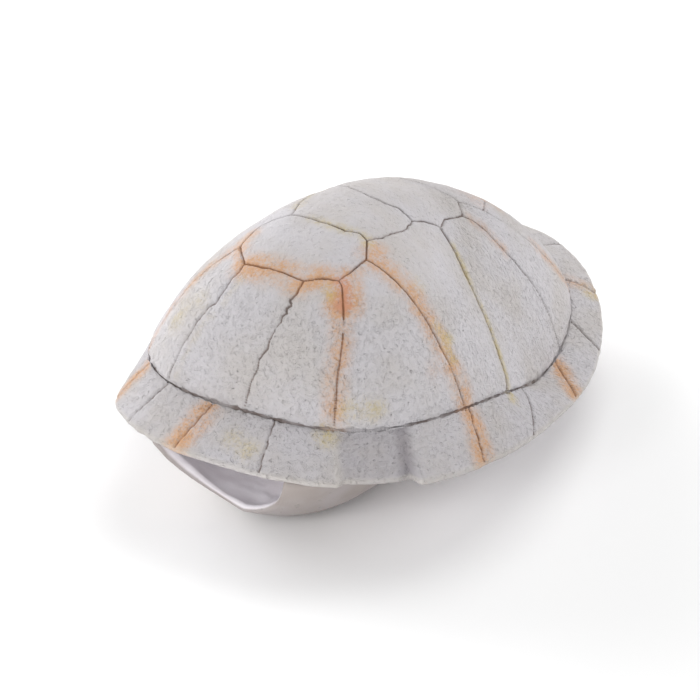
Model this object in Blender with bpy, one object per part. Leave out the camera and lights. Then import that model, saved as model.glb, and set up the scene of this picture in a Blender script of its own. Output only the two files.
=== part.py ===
"""Tortoise skeleton: the shell, in its two natural halves.

The carapace is the domed upper half, with scute seams over the crown, a
groove round its foot and a flared skirt of marginal plates below the groove.
The plastron is the shallow bowl under it, flat where it rests, open to the
hollow inside through a mouth at the front and a smaller gap at the tail.

Metres, +Z up. The head end faces -Y and the animal's left side is +X. The
origin is the middle of the flat base. Plan angles start at the head end and
grow towards +X.
"""
import math
from collections import namedtuple

import bmesh
import bpy
from mathutils import Vector

MM = 0.001
BONE_COLOUR = (0.66, 0.63, 0.62)
BONE_ROUGHNESS = 0.85
CREAM_COLOUR = (0.70, 0.65, 0.56)
CREAM_ROUGHNESS = 0.7
SHARP_ANGLE = 32.0                            # degrees between faces that read as an edge
MERGE_DISTANCE = 0.02 * MM
COLUMN_NUDGE = 0.25                           # an odd sphere's points lie half a column off

# The whole shell
CROWN = Vector((0.0, -20.6, 84.0)) * MM       # highest point of the dome
MIDDLE_Y = -1.15 * MM                         # middle of the plan outlines
NARROWING = 0.04                              # how much slimmer the tail end is
HALF_LENGTH = 95.0 * MM
CROWN_POWER = (1.96, 0.21, 0.02)              # roundness of the dome: mean and two waves
SHOULDER_POWER = (0.845, 0.0, -0.085)         # fullness of its shoulders, in the same way
SWELL_PLACE = Vector((-17.0, -10.0, 0.0)) * MM  # the right shoulder swells beside the crown
SWELL_HEIGHT = 2.4 * MM
SWELL_REACH = 13.0 * MM

# Plan outlines: half width, half length, squareness and three-lobed taper
RIM = (67.0 * MM, 95.0 * MM, 2.3, 1.7 * MM)
GROOVE = (53.0 * MM, 79.0 * MM, 2.9, 2.0 * MM)
CAVITY = (43.0 * MM, 73.5 * MM, 3.0, 1.0 * MM)
SILL = (35.0 * MM, 72.0 * MM, 3.0, 1.0 * MM)  # inner edge of the skirt's underside
SILL_THICKNESS = 3.0 * MM                     # bone over the plastron's top edge

# Heights round the shell: the mean, then the waves that come 1, 2, 3 and 4 times round
RIM_HEIGHT = tuple(v * MM for v in (23.6, 3.5, 5.1, -2.9, 1.8))
GROOVE_HEIGHT = tuple(v * MM for v in (32.0, 8.0, 5.6, -4.4, 0.5))
UNDERSIDE_FALL = 0.04                         # fall of the skirt's underside per length inwards
SHELL_THICKNESS = 4.5 * MM

# Marginal seams on the left side: plan angle at the groove, plan angle at the rim
MARGINAL_SEAMS = (
    (7.5, 8.5), (20.5, 22.5), (33.0, 34.0), (36.0, 36.8), (54.0, 53.0),
    (88.0, 71.0), (122.0, 102.0), (139.5, 129.5), (154.0, 149.0), (168.0, 166.0))
# The right side has no channel, so its third seam stands alone
RIGHT_SEAMS = MARGINAL_SEAMS[:2] + ((31.0, 33.0),) + MARGINAL_SEAMS[4:]
PANEL_SEAM = 1                                # the left side's sunken panel starts at this seam
CHANNEL_SEAM = 2                              # and the narrow channel behind it at this one
PANEL_DEPTH = 2.4 * MM
CHANNEL_DEPTH = 3.4 * MM
PROUD_PLATE = -0.7 * MM                       # the plate behind the channel stands out
WAIST_DEPTH = 6.5 * MM                        # the right side's rim draws in behind the seams there
WAIST_SPAN = (30.0, 72.0)                     # between these plan angles
WAIST_POWER = 1.5                             # above 1 the waist runs out softly at its ends
SEAM_DEPTH = 1.1 * MM
SEAM_HALF_WIDTH = 0.8 * MM
PLATE_STEP = 12.0 * MM                        # longest facet along a marginal plate
SKIRT_TOP_SHARE = 0.3                         # how much of a sunken panel is left at the groove
RIM_EDGE = 1.8 * MM                           # height of the blunt rim edge
RIM_UNDERCUT = 0.4 * MM                       # how far the rim's foot draws in
RIM_FOOT_CUT = 0.7                            # share of a seam's depth that is left at the rim's foot
GROOVE_CUT = 1.2 * MM                         # how far the groove cuts in and down
SKIRT_TOP_OUT = 0.7 * MM                      # where the skirt starts, outside the dome's foot
SKIRT_TOP_DROP = 1.6 * MM                     # and below it

# One column of the shell's faces: plan angles in degrees at the groove, the rim, the dome
# and inside, how far the skirt is set in there, and how deep a seam cuts into it
Column = namedtuple("Column", "groove rim dome inside inset cut")

# Rings of the dome, as shares of the way from the crown to the groove
DOME_RINGS = (0.17, 0.33, 0.47, 0.60, 0.71, 0.81, 0.89, 0.955, 1.0)
CAVITY_RINGS = (1.0, 0.93, 0.80, 0.62, 0.42, 0.21)
SEAM_STEP = 5.0 * MM                          # longest stretch of a seam cutter

# Scute seams on the dome, as plan points in millimetres
HEX_ONE = ((-15.5, -52), (-9, -52.5), (-1.5, -52.7), (5.5, -53.5), (15.5, -49.8), (17.4, -45.4),
           (18.6, -39), (15.3, -32.6), (12, -31.3), (8, -33.2), (3, -32.6), (-4.5, -31.8),
           (-11.7, -31.2), (-17, -33), (-20.2, -35.5), (-21.6, -45), (-15.5, -52))
HEX_TWO_LEFT = ((15.3, -32.6), (17.6, -27.5), (18, -22.5), (18.4, -16), (16.5, -6.5))
HEX_TWO_RIGHT = ((-11.7, -31.2), (-14.4, -20), (-14.6, -13), (-13, -4.5))
HEX_TWO_REAR = ((16.5, -6.5), (11.6, -6.6), (8.5, -9.2), (3, -9.6), (-4, -8), (-13, -4.5))
HEX_THREE_LEFT = ((16.5, -6.5), (18.2, -1.6), (21.3, 2.7), (20.2, 8), (21.3, 17.5), (16.5, 24))
HEX_THREE_RIGHT = ((-13, -4.5), (-19, 0), (-21, 4), (-20.5, 17), (-15.5, 24.5))
HEX_THREE_REAR = ((16.5, 24), (6, 22.5), (-5, 23.2), (-15.5, 24.5))
HEX_FOUR_LEFT = ((16.5, 24), (20.5, 34), (14.5, 46.5))
HEX_FOUR_RIGHT = ((-15.5, 24.5), (-20, 35), (-14, 46))
HEX_FOUR_REAR = ((14.5, 46.5), (0, 45), (-14, 46))
MIDLINE = ((5.5, -53.5), (4.6, -60.5), (3, -68), (1.6, -73), (-0.4, -80.5))
FIRST_LEFT = ((15.5, -49.8), (19, -54), (22.2, -59), (24.8, -66.5), (28.9, -77))
FIRST_RIGHT = ((-15.5, -52), (-17, -57.5), (-21, -63.7), (-25.3, -70), (-29.8, -76.5))
SECOND_LEFT = ((18.6, -39), (29.4, -37.8), (37.2, -37.8), (44.6, -38.9), (55.5, -41.5))
SECOND_RIGHT = ((-21.6, -45), (-27.8, -48.6), (-34, -51.8), (-46.5, -62))
THIRD_LEFT = ((21.3, 2.7), (26, 1.8), (34.7, -2.3), (44.7, -7.6), (52, -12), (57.5, -18))
THIRD_RIGHT = ((-21, 4), (-27, 2), (-35.5, -3), (-45, -9), (-57.5, -20))
FOURTH_LEFT = ((21.3, 17.5), (27, 24), (32.7, 27.6), (40.8, 36), (51.5, 39))
FOURTH_RIGHT = ((-20.5, 17), (-28, 24), (-35.5, 30), (-43, 35), (-51.5, 38))
FIFTH_LEFT = ((20.5, 34), (27, 43), (33, 54), (39, 68.5))
FIFTH_RIGHT = ((-20, 35), (-26, 44), (-33, 55), (-38, 68))
SIXTH_LEFT = ((14.5, 46.5), (19, 60), (26.5, 79))
SIXTH_RIGHT = ((-14, 46), (-18.5, 60), (-26, 79))
SCUTE_SEAMS = (
    HEX_ONE, HEX_TWO_LEFT, HEX_TWO_RIGHT, HEX_TWO_REAR, HEX_THREE_LEFT, HEX_THREE_RIGHT,
    HEX_THREE_REAR, HEX_FOUR_LEFT, HEX_FOUR_RIGHT, HEX_FOUR_REAR, MIDLINE, FIRST_LEFT,
    FIRST_RIGHT, SECOND_LEFT, SECOND_RIGHT, THIRD_LEFT, THIRD_RIGHT, FOURTH_LEFT,
    FOURTH_RIGHT, FIFTH_LEFT, FIFTH_RIGHT, SIXTH_LEFT, SIXTH_RIGHT)
CUTTER_LIFT = 1.0 * MM                        # how far a seam cutter stands above the dome
NORMAL_TURN = 0.5                             # degrees either way when the dome's slope is read
NORMAL_STEP = 0.01                            # and the share of the way inwards
ADDRESS_ROUNDS = 30                           # halvings that find a plan point's place on the dome
ADDRESS_RANGE = (0.01, 1.4)

# Plastron: a bowl between its flat base and the outline of its top edge
BASE_HALF_WIDTH = 24.0 * MM
BASE_FRONT_Y = -60.5 * MM
BASE_REAR_Y = 62.0 * MM
TOP_HALF_WIDTH = 39.5 * MM
TOP_FRONT_Y = -93.6 * MM
TOP_REAR_Y = 90.0 * MM
TOP_SQUARENESS = (3.9, 2.5)                   # towards the head, towards the tail
BASE_SQUARENESS = (2.2, 2.2)
END_FULLNESS = 1.15                           # profile of the bowl at its ends, 1 is a round one
SIDE_FULLNESS = 2.1                           # and at its sides, nearly a straight slope
PLASTRON_WALL = 3.5 * MM
LIP_WALL = 2.0 * MM
FLOOR_HEIGHT = 4.0 * MM
MOUTH_CENTRE = -4.0                           # plan angle of the mouth's middle
MOUTH_HALF_ANGLE = 18.0                       # and from there to its corners
MOUTH_DEPTH = 20.5 * MM
TAIL_CENTRE = 180.0
TAIL_HALF_ANGLE = 12.0
TAIL_DEPTH = 8.0 * MM
SEAT_OVERLAP = 1.0 * MM                       # how far the wall runs into the skirt before the cut
SEAT_GAP = 0.3 * MM
WALL_RINGS = (0.0, 0.1, 0.24, 0.42, 0.62, 0.82, 1.0)
PLAIN_COLUMN_STEP = 6.0                       # degrees between columns away from the mouth
MOUTH_COLUMNS = (0.35, 0.65, 0.85, 0.96, 1.0) # shares of the mouth's half angle
TAIL_COLUMNS = (1.0, 0.96, 0.8, 0.5)          # and of the tail gap's, from its corner inwards
CORNER_CLEARANCE = 2.0                        # degrees kept clear of plain columns at a corner


def clear_scene():
    for item in list(bpy.data.objects):
        bpy.data.objects.remove(item, do_unlink=True)


def make_material(name, colour, roughness):
    material = bpy.data.materials.new(name)
    material.use_nodes = True
    shader = material.node_tree.nodes["Principled BSDF"]
    shader.inputs["Base Color"].default_value = (*colour, 1.0)
    shader.inputs["Roughness"].default_value = roughness
    shader.inputs["Metallic"].default_value = 0.0
    return material


def make_object(name, mesh_builder, material):
    """Turn a bmesh into a smooth shaded object with one material."""
    bmesh.ops.recalc_face_normals(mesh_builder, faces=mesh_builder.faces)
    mesh = bpy.data.meshes.new(name)
    mesh_builder.to_mesh(mesh)
    mesh_builder.free()
    mesh.shade_smooth()
    mesh.set_sharp_from_angle(angle=math.radians(SHARP_ANGLE))
    mesh.materials.append(material)
    item = bpy.data.objects.new(name, mesh)
    bpy.context.collection.objects.link(item)
    return item


def make_guide(item):
    """A cutter shapes its neighbours and is not part of the shell."""
    item.hide_render = True
    item.display_type = "WIRE"


def waves(angle, amounts):
    return sum(amount * math.cos(turns * angle) for turns, amount in enumerate(amounts))


def outline_radius(angle, outline):
    """Radius of a squarish oval with a three-lobed taper, at a plan angle."""
    half_width, half_length, squareness, taper = outline
    across = abs(math.sin(angle) / half_width) ** squareness
    along = abs(math.cos(angle) / half_length) ** squareness
    return (across + along) ** (-1.0 / squareness) - taper * math.cos(3.0 * angle)


def narrowing(raw_y):
    return 1.0 - NARROWING * raw_y / HALF_LENGTH


def outline_point(angle, outline, inset=0.0):
    """Plan point of an outline, moved inwards by an inset."""
    radius = outline_radius(angle, outline) - inset
    raw_y = -radius * math.cos(angle)
    return Vector((radius * math.sin(angle) * narrowing(raw_y), raw_y + MIDDLE_Y, 0.0))


def plan_angle(x, y):
    raw_y = y - MIDDLE_Y
    return math.atan2(x / narrowing(raw_y), -raw_y)


def outline_share(x, y, outline):
    """1 on the outline, less inside it, more outside it."""
    raw_y = y - MIDDLE_Y
    raw_x = x / narrowing(raw_y)
    return math.hypot(raw_x, raw_y) / outline_radius(math.atan2(raw_x, -raw_y), outline)


def underside_height(x, y):
    """Height of the skirt's underside over a plan point."""
    angle = plan_angle(x, y)
    inwards = outline_radius(angle, RIM) * max(0.0, 1.0 - outline_share(x, y, RIM))
    return waves(angle, RIM_HEIGHT) - UNDERSIDE_FALL * inwards


def dome_profile(angle, share):
    """Height of the dome as a share of its rise, 1 at the crown and 0 at its foot."""
    crown_power = waves(angle, CROWN_POWER)
    shoulder_power = waves(angle, SHOULDER_POWER)
    return max(0.0, 1.0 - share ** crown_power) ** shoulder_power


def swell(spot):
    """The low swelling of the right shoulder over a plan point."""
    away = math.hypot(spot.x - SWELL_PLACE.x, spot.y - SWELL_PLACE.y) / SWELL_REACH
    return SWELL_HEIGHT * math.exp(-away * away)


def dome_point(angle, share):
    foot = outline_point(angle, GROOVE)
    foot.z = waves(angle, GROOVE_HEIGHT)
    spot = CROWN.lerp(foot, share)
    spot.z = foot.z + (CROWN.z - foot.z) * dome_profile(angle, share) + swell(spot)
    return spot


def cavity_point(angle, share):
    """The inner face of the dome, from its foot above the sill to under the crown."""
    foot = outline_point(angle, CAVITY)
    foot.z = underside_height(foot.x, foot.y) + SILL_THICKNESS
    roof = CROWN.z - SHELL_THICKNESS
    spot = CROWN.lerp(foot, share)
    spot.z = foot.z + (roof - foot.z) * dome_profile(angle, share)
    return spot


def dome_address(x, y):
    """Plan angle of the groove point beyond a plan point, and its share of the way there."""
    low, high = ADDRESS_RANGE
    for _ in range(ADDRESS_ROUNDS):
        share = 0.5 * (low + high)
        foot_x = CROWN.x + (x - CROWN.x) / share
        foot_y = CROWN.y + (y - CROWN.y) / share
        if outline_share(foot_x, foot_y, GROOVE) > 1.0:
            low = share
        else:
            high = share
    return plan_angle(foot_x, foot_y), min(share, 1.0)


def dome_normal(angle, share):
    turn = math.radians(NORMAL_TURN)
    inner = max(share - NORMAL_STEP, 0.0)
    outwards = dome_point(angle, share) - dome_point(angle, inner)
    sideways = dome_point(angle + turn, share) - dome_point(angle - turn, share)
    return outwards.cross(sideways).normalized()


def waist_inset(angle):
    """How far the right side's rim draws in at a plan angle in degrees."""
    start, end = WAIST_SPAN
    part = (angle - start) / (end - start)
    if not 0.0 < part < 1.0:
        return 0.0
    return WAIST_DEPTH * math.sin(math.pi * part) ** WAIST_POWER


def plate_inset(plate):
    """How far a marginal plate of the left side is set in, at its start and at its end."""
    if plate == PANEL_SEAM:
        return PANEL_DEPTH, PANEL_DEPTH
    if plate == CHANNEL_SEAM:
        return CHANNEL_DEPTH, CHANNEL_DEPTH
    if plate == CHANNEL_SEAM + 1:
        return PROUD_PLATE, 0.0
    return 0.0, 0.0


def plate_columns(start, end, inset_start, inset_end):
    """Plain columns of one marginal plate, with one close to the seam at each end."""
    radius = outline_radius(math.radians(0.5 * (start[1] + end[1])), RIM)
    steps = max(1, round(math.radians(end[1] - start[1]) * radius / PLATE_STEP))
    edge = math.degrees(SEAM_HALF_WIDTH / radius)
    columns = []
    for step in range(steps + 1):
        part = step / steps
        groove = start[0] + (end[0] - start[0]) * part
        rim = start[1] + (end[1] - start[1]) * part
        nudge = edge if step == 0 else -edge if step == steps else 0.0
        inset = inset_start + (inset_end - inset_start) * part
        columns.append(Column(groove + nudge, rim + nudge, groove, rim, inset, 0.0))
    return columns


def side_columns(seams, inset_of):
    """Columns of one side from head to tail.

    A seam is three columns on the skirt that meet in one on the dome and inside.
    """
    stops = [(0.0, 0.0)] + list(seams) + [(180.0, 180.0)]
    columns = []
    for number, (start, end) in enumerate(zip(stops, stops[1:])):
        plate = number - 1
        columns += plate_columns(start, end, *inset_of(plate))
        inset = max(inset_of(plate)[1], inset_of(plate + 1)[0], 0.0)
        columns.append(Column(*end, *end, inset, SEAM_DEPTH))
    return columns[1:-2]


def no_inset(plate):
    return 0.0, 0.0


def with_waist(column):
    return column._replace(inset=waist_inset(column.rim))


def shell_columns():
    """Columns all the way round: head, left side, tail, then the right side mirrored."""
    left = side_columns(MARGINAL_SEAMS, plate_inset)
    right = [with_waist(column) for column in side_columns(RIGHT_SEAMS, no_inset)]
    head = Column(0.0, 0.0, 0.0, 0.0, 0.0, 0.0)
    tail = Column(180.0, 180.0, 180.0, 180.0, 0.0, 0.0)
    mirrored = [
        Column(-c.groove, -c.rim, -c.dome, -c.inside, c.inset, c.cut) for c in reversed(right)]
    return [head] + left + [tail] + mirrored


def shell_rings(column):
    """One column of the carapace, from the crown down over the rim and up inside."""
    groove, rim, dome, inside = (math.radians(angle) for angle in column[:4])
    points = [dome_point(dome, share) for share in DOME_RINGS]
    groove_floor = outline_point(dome, GROOVE, inset=GROOVE_CUT)
    groove_floor.z = waves(dome, GROOVE_HEIGHT) - GROOVE_CUT
    skirt_top = outline_point(
        groove, GROOVE, inset=SKIRT_TOP_SHARE * column.inset - SKIRT_TOP_OUT)
    skirt_top.z = waves(groove, GROOVE_HEIGHT) - SKIRT_TOP_DROP
    rim_top = outline_point(rim, RIM, inset=column.inset)
    rim_top.z = waves(rim, RIM_HEIGHT) + RIM_EDGE
    slope = rim_top - skirt_top
    run = math.hypot(slope.x, slope.y)
    outwards = Vector((-slope.z * slope.x / run, -slope.z * slope.y / run, run)).normalized()
    skirt_top -= outwards * column.cut
    rim_top -= outwards * column.cut
    foot_inset = column.inset + RIM_UNDERCUT + RIM_FOOT_CUT * column.cut
    rim_foot = outline_point(rim, RIM, inset=foot_inset)
    rim_foot.z = waves(rim, RIM_HEIGHT)
    sill = outline_point(inside, SILL)
    sill.z = underside_height(sill.x, sill.y)
    sill_top = sill + Vector((0.0, 0.0, SILL_THICKNESS))
    points += [groove_floor, skirt_top, rim_top, rim_foot, sill, sill_top]
    points += [cavity_point(inside, share) for share in CAVITY_RINGS]
    return points


def ball_from_columns(columns, ring_points, top, bottom):
    """Start from a UV sphere and move each of its points to its place on the piece."""
    grid = [ring_points(column) for column in columns]
    rings = len(grid[0])
    builder = bmesh.new()
    bmesh.ops.create_uvsphere(
        builder, u_segments=len(columns), v_segments=rings + 1, radius=1.0)
    turn = 2.0 * math.pi / len(columns)
    for vertex in builder.verts:
        x, y, z = vertex.co
        ring = round(math.acos(max(-1.0, min(1.0, z))) / math.pi * (rings + 1)) - 1
        if ring < 0:
            vertex.co = top
        elif ring >= rings:
            vertex.co = bottom
        else:
            column = math.floor(math.atan2(x, -y) / turn + COLUMN_NUDGE) % len(columns)
            vertex.co = grid[column][ring]
    bmesh.ops.remove_doubles(builder, verts=builder.verts, dist=MERGE_DISTANCE)
    bmesh.ops.triangulate(builder, faces=builder.faces, quad_method="SHORT_EDGE")
    return builder


def seam_spots(seam):
    """Points of the dome along a seam, close enough to follow its curve."""
    spots = []
    for (x_start, y_start), (x_end, y_end) in zip(seam, seam[1:]):
        length = math.hypot(x_end - x_start, y_end - y_start) * MM
        steps = max(1, math.ceil(length / SEAM_STEP))
        for step in range(steps):
            part = step / steps
            x = (x_start + (x_end - x_start) * part) * MM
            y = (y_start + (y_end - y_start) * part) * MM
            spots.append(dome_address(x, y))
    spots.append(dome_address(seam[-1][0] * MM, seam[-1][1] * MM))
    if seam[0] == seam[-1]:
        spots.append(spots[1])
    return [(dome_point(angle, share), dome_normal(angle, share)) for angle, share in spots]


def seam_cutter(name, seam):
    """A three-sided bar that follows a seam and cuts a narrow V into the dome."""
    spots = seam_spots(seam)
    half_top = SEAM_HALF_WIDTH * (1.0 + CUTTER_LIFT / SEAM_DEPTH)
    builder = bmesh.new()
    start = bmesh.ops.create_circle(builder, segments=3, radius=MM, cap_ends=True)["verts"]
    ring = list(start)
    face = ring[0].link_faces[0]
    for index, (spot, normal) in enumerate(spots):
        before = spots[max(index - 1, 0)][0]
        after = spots[min(index + 1, len(spots) - 1)][0]
        across = (after - before).cross(normal).normalized()
        if index > 0:
            ring, face = extrude_ring(builder, ring, face, keep_face=(index == 1))
        ring[0].co = spot - normal * SEAM_DEPTH
        ring[1].co = spot + normal * CUTTER_LIFT + across * half_top
        ring[2].co = spot + normal * CUTTER_LIFT - across * half_top
    return make_object(name, builder, bpy.data.materials["bone"])


def extrude_ring(builder, ring, face, keep_face):
    """Grow a bar by one stretch; its new end's points keep the old end's order."""
    places = [vertex.co.copy() for vertex in ring]
    grown = bmesh.ops.extrude_face_region(builder, geom=[face])["geom"]
    new_face = [part for part in grown if isinstance(part, bmesh.types.BMFace)][0]
    if not keep_face:
        bmesh.ops.delete(builder, geom=[face], context="FACES_ONLY")
    new_ring = [
        min(new_face.verts, key=lambda vertex: (vertex.co - place).length)
        for place in places]
    return new_ring, new_face


def carapace_builder():
    roof = Vector((CROWN.x, CROWN.y, CROWN.z - SHELL_THICKNESS))
    top = CROWN + Vector((0.0, 0.0, swell(CROWN)))
    return ball_from_columns(shell_columns(), shell_rings, top, roof)


def make_carapace(material):
    item = make_object("carapace", carapace_builder(), material)
    cutters = bpy.data.collections.new("seam_cutters")
    bpy.context.scene.collection.children.link(cutters)
    for number, seam in enumerate(SCUTE_SEAMS, start=1):
        cutter = seam_cutter("seam_cutter_%02d" % number, seam)
        bpy.context.collection.objects.unlink(cutter)
        cutters.objects.link(cutter)
        make_guide(cutter)
    carve = item.modifiers.new("scute seams", "BOOLEAN")
    carve.operation = "DIFFERENCE"
    carve.operand_type = "COLLECTION"
    carve.collection = cutters
    carve.solver = "EXACT"
    return item


def oval(angle, half_width, front_y, rear_y, squareness):
    """Plan point of an oval between a front and a rear reach."""
    half_length = 0.5 * (rear_y - front_y)
    middle = 0.5 * (rear_y + front_y)
    power = squareness[0] if math.cos(angle) > 0.0 else squareness[1]
    across = abs(math.sin(angle) / half_width) ** power
    along = abs(math.cos(angle) / half_length) ** power
    radius = (across + along) ** (-1.0 / power)
    return Vector((radius * math.sin(angle), middle - radius * math.cos(angle), 0.0))


def turned_from(angle, centre):
    """Degrees between a plan angle and a centre, both in degrees."""
    return abs((angle - centre + 180.0) % 360.0 - 180.0)


def opening_depth(angle):
    """How far the mouth or the tail gap lowers the edge of the bowl, and how far off this is."""
    for centre, half_angle, depth in (
            (MOUTH_CENTRE, MOUTH_HALF_ANGLE, MOUTH_DEPTH),
            (TAIL_CENTRE, TAIL_HALF_ANGLE, TAIL_DEPTH)):
        away = turned_from(math.degrees(angle), centre) / half_angle
        if away < 1.0:
            return depth * math.sqrt(1.0 - away * away), away
    return 0.0, 1.0


def plastron_rings(angle):
    """One column of the bowl: up its outer face, over its edge and down inside."""
    lowered, away = opening_depth(angle)
    top = oval(angle, TOP_HALF_WIDTH, TOP_FRONT_Y, TOP_REAR_Y, TOP_SQUARENESS)
    base = oval(angle, BASE_HALF_WIDTH, BASE_FRONT_Y, BASE_REAR_Y, BASE_SQUARENESS)
    full = underside_height(top.x, top.y)
    edge = full + SEAT_OVERLAP
    if lowered > 0.0:
        edge = full - lowered
    side = abs(math.sin(angle))
    fullness = END_FULLNESS + (SIDE_FULLNESS - END_FULLNESS) * side
    wall = LIP_WALL + (PLASTRON_WALL - LIP_WALL) * away * away
    outer = []
    for part in WALL_RINGS:
        share = min(1.0, edge * part / full)
        reach = (1.0 - (1.0 - share) ** (2.0 / fullness)) ** (0.5 * fullness)
        outer.append(base.lerp(top, reach) + Vector((0.0, 0.0, edge * part)))
    outwards = (top - base).normalized()
    inner = []
    for index, part in enumerate(WALL_RINGS):
        stretch = outer[min(index + 1, len(outer) - 1)] - outer[max(index - 1, 0)]
        normal = Vector((0.0, 0.0, stretch.dot(outwards))) - outwards * stretch.z
        thickness = FLOOR_HEIGHT + (wall - FLOOR_HEIGHT) * part
        spot = outer[index] + normal.normalized() * thickness
        spot.z = min(spot.z, full + SEAT_OVERLAP)
        inner.append(spot)
    return outer + list(reversed(inner))


def plastron_columns():
    """Even steps, with extra columns beside the corners of the mouth and the tail gap."""
    mouth = [MOUTH_HALF_ANGLE * part for part in MOUTH_COLUMNS]
    tail = [TAIL_HALF_ANGLE * part for part in TAIL_COLUMNS]
    angles = [MOUTH_CENTRE, TAIL_CENTRE]
    angles += [MOUTH_CENTRE + turn for turn in mouth] + [MOUTH_CENTRE - turn for turn in mouth]
    angles += [TAIL_CENTRE - turn for turn in tail] + [turn - TAIL_CENTRE for turn in tail]
    plain = PLAIN_COLUMN_STEP - 180.0
    while plain < 180.0:
        off_mouth = turned_from(plain, MOUTH_CENTRE) > MOUTH_HALF_ANGLE + CORNER_CLEARANCE
        off_tail = turned_from(plain, TAIL_CENTRE) > TAIL_HALF_ANGLE + CORNER_CLEARANCE
        if off_mouth and off_tail:
            angles.append(plain)
        plain += PLAIN_COLUMN_STEP
    return [math.radians(angle) for angle in sorted(angles)]


def make_plastron(material, seat_material):
    middle_y = 0.5 * (BASE_FRONT_Y + BASE_REAR_Y)
    foot = Vector((0.0, middle_y, 0.0))
    floor = Vector((0.0, middle_y, FLOOR_HEIGHT))
    builder = ball_from_columns(plastron_columns(), plastron_rings, foot, floor)
    item = make_object("plastron", builder, material)
    seat = make_object("seat_cutter", carapace_builder(), seat_material)
    seat.location.z = -SEAT_GAP
    make_guide(seat)
    trim = item.modifiers.new("seat under the skirt", "BOOLEAN")
    trim.operation = "DIFFERENCE"
    trim.object = seat
    trim.solver = "EXACT"
    return item


def main():
    clear_scene()
    bone = make_material("bone", BONE_COLOUR, BONE_ROUGHNESS)
    cream = make_material("cream bone", CREAM_COLOUR, CREAM_ROUGHNESS)
    make_carapace(bone)
    make_plastron(cream, bone)


main()
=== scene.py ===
# %% [markdown]
# # A tortoise skeleton
#
# The object is the dry shell of a tortoise: a domed carapace over a shallow
# plastron, pale as plaster, cracked along its scute seams and stained by soil.
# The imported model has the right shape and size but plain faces. This lesson
# builds a close skin for each half on the same outlines, so that every ridge
# and crack can be cut finely, and then gives both a bone finish.

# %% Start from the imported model
import math

import bmesh
import bpy
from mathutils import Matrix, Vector, noise
from mathutils.kdtree import KDTree


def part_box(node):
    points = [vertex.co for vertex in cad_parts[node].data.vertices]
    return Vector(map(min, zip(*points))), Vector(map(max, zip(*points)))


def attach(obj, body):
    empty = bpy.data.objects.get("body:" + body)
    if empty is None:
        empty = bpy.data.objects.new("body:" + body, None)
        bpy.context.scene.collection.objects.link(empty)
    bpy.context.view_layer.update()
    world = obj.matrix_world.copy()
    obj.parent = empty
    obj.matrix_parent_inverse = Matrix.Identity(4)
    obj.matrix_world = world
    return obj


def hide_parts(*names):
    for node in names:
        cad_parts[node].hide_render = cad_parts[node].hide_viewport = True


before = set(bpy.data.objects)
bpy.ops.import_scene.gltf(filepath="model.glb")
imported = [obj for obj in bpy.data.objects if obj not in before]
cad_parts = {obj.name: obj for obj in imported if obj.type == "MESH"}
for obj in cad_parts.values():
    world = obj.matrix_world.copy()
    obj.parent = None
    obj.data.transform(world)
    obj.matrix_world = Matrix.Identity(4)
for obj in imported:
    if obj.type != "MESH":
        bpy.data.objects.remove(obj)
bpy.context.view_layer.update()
MM = 0.001
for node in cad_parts:
    low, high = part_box(node)
    print(node, [round((b - a) / MM, 1) for a, b in zip(low, high)], "mm")

# %% [markdown]
# ## The outlines
#
# A shell is not a sphere or an ellipsoid. Seen from above it is a squarish
# oval, fuller towards the head, and its rim rises and falls as it goes round.
# A few cosine waves describe that well: the first number is the mean, and the
# next ones come once, twice, three and four times round. Plan angles start at
# the head, which faces -Y, and grow towards the animal's left, which is +X.

# %% Sizes of the shell
CROWN = Vector((0.0, -20.6, 84.0)) * MM
MIDDLE_Y = -1.15 * MM
NARROWING = 0.04
HALF_LENGTH = 95.0 * MM
# How the dome bulges between crown and groove, as waves round the plan
CROWN_POWER = (1.96, 0.21, 0.02)
SHOULDER_POWER = (0.845, 0.0, -0.085)
# Outlines: half width, half length, squareness and taper
RIM = (67.0 * MM, 95.0 * MM, 2.3, 1.7 * MM)
GROOVE = (53.0 * MM, 79.0 * MM, 2.9, 2.0 * MM)
CAVITY = (43.0 * MM, 73.5 * MM, 3.0, 1.0 * MM)
SILL = (35.0 * MM, 72.0 * MM, 3.0, 1.0 * MM)
SILL_THICKNESS = 3.0 * MM
# Heights above the ground, as waves round the plan
RIM_HEIGHT = tuple(v * MM for v in (23.6, 3.5, 5.1, -2.9, 1.8))
GROOVE_HEIGHT = tuple(v * MM for v in (32.0, 8.0, 5.6, -4.4, 0.5))
UNDERSIDE_FALL = 0.04
SHELL_THICKNESS = 4.5 * MM
RIM_EDGE = 1.8 * MM
RIM_ROUNDING = 0.5 * MM
GROOVE_CUT = 0.9 * MM
GROOVE_SIDE_DROP = 0.75 * GROOVE_CUT
GROOVE_BED_INSET = 0.6 * GROOVE_CUT
GROOVE_BED_DROP = 1.25 * GROOVE_CUT
SKIRT_TOP_OUT = 0.05 * MM
SKIRT_TOP_DROP = 0.45 * MM
SKIRT_BULGE = 0.35 * MM
SWELL_PLACE = Vector((-17.0, -10.0, 0.0)) * MM
SWELL_HEIGHT = 2.4 * MM
SWELL_REACH = 13.0 * MM
WAIST_DEPTH = 6.5 * MM
# Degrees from the head, on the right side
WAIST_SPAN = (30.0, 72.0)
WAIST_POWER = 1.5


# %% Curves of the outlines
def waves(angle, amounts):
    return sum(amount * math.cos(turns * angle) for turns, amount in enumerate(amounts))


def outline_radius(angle, outline):
    half_width, half_length, squareness, taper = outline
    across = abs(math.sin(angle) / half_width) ** squareness
    along = abs(math.cos(angle) / half_length) ** squareness
    return (across + along) ** (-1.0 / squareness) - taper * math.cos(3.0 * angle)


def narrowing(raw_y):
    return 1.0 - NARROWING * raw_y / HALF_LENGTH


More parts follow.
